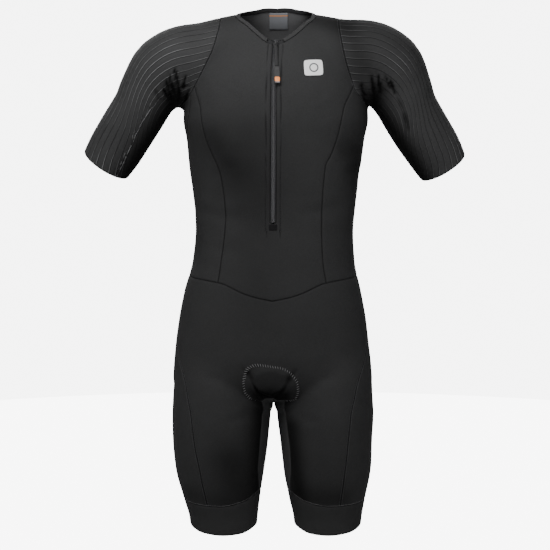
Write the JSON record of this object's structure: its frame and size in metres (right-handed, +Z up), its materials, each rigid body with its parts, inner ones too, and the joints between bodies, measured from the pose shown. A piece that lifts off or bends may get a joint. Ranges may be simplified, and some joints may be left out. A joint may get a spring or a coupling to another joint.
{
  "type": "triathlon suit",
  "caption": "Short-sleeved stretch triathlon suit in its worn, hollow form, with a half zip, shaped panels, an elastic neck binding and elastic leg bands.",
  "frame": {"origin": "between the shoulders, in the middle plane, level with the tops of the shoulders, where a hanger or a wearer's shoulders hold the suit", "axes": "+Z up along the body, +X to the viewer's right of the front, +Y from the front to the back"},
  "size_m": [0.6742, 0.2448, 0.9312],
  "materials": {
    "body_fabric": "matte stretch knit",
    "sleeve_fabric": "ribbed stretch knit with a slight sheen",
    "band_fabric": "matte elastic",
    "binding_elastic": "ribbed elastic",
    "zip_fabric": "woven tape",
    "zip_nylon": "nylon coil",
    "zip_metal": "dark lacquer",
    "tab_cord": "matt",
    "grip_rubber": "moulded",
    "inlay_orange": "smooth",
    "label_satin": "satin",
    "badge_print": "printed transfer",
    "pad_foam": "brushed knit over foam"
  },
  "bodies": {
    "suit": {"back_panel": "body_fabric", "front_panel": "body_fabric", "side_panel_left": "body_fabric", "side_panel_right": "body_fabric", "shorts_front": "body_fabric", "shorts_back_left": "body_fabric", "shorts_back_right": "body_fabric", "inner_leg_left": "body_fabric", "inner_leg_right": "body_fabric", "sleeve_left": "sleeve_fabric", "sleeve_right": "sleeve_fabric", "leg_band_left": "band_fabric", "leg_band_right": "band_fabric", "neck_binding": "binding_elastic", "zip_tape_left": "zip_fabric", "zip_tape_right": "zip_fabric", "zip_end_patch": "zip_fabric", "zip_chain": "zip_nylon", "zip_slider": "zip_metal", "neck_label": "label_satin", "chest_badge": "badge_print", "seat_pad": "pad_foam"},
    "pull_tab": {"zip_tab": "tab_cord", "zip_grip": "grip_rubber", "zip_inlay": "inlay_orange"}
  },
  "joints": [
    {"name": "pull_tab_hinge", "type": "hinge", "parent": "suit", "child": "pull_tab", "pos_m": [0.00193, -0.08123, -0.05379], "axis": [-1, 0, 0], "range_deg": [0, 140]}
  ]
}
